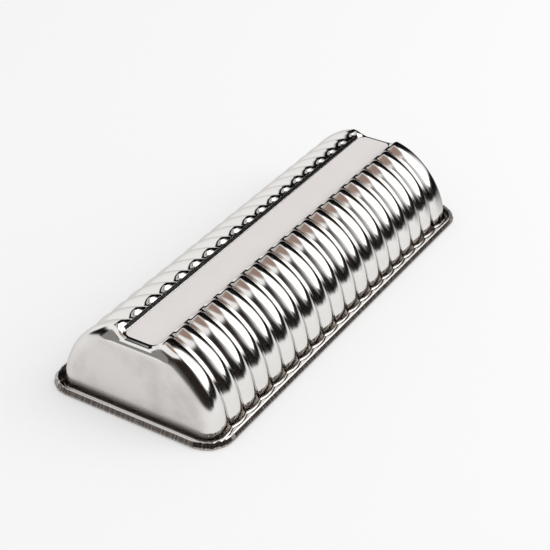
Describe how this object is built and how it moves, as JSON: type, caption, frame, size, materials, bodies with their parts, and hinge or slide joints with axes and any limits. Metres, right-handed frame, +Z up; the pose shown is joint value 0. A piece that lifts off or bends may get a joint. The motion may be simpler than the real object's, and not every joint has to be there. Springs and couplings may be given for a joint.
{
  "type": "ridged loaf pan",
  "caption": "Long half-round loaf pan of bright tinplate with ridged flanks, a flat strip sunk along the base, drafted ends and a wired, folded rim, standing mouth down.",
  "frame": {"origin": "middle of the rim's outline, on the surface that the pan stands on mouth down", "axes": "+X along the pan, +Y across it, +Z up from the mouth to the base strip"},
  "size_m": [0.3, 0.12, 0.0507],
  "materials": {
    "tinplate": "bright drawn tinplate, satin on the base strip and the end walls",
    "wire_steel": "plain drawn steel wire"
  },
  "bodies": {
    "root": {"pan_shell": "tinplate", "rim_wire": "wire_steel"}
  },
  "joints": []
}
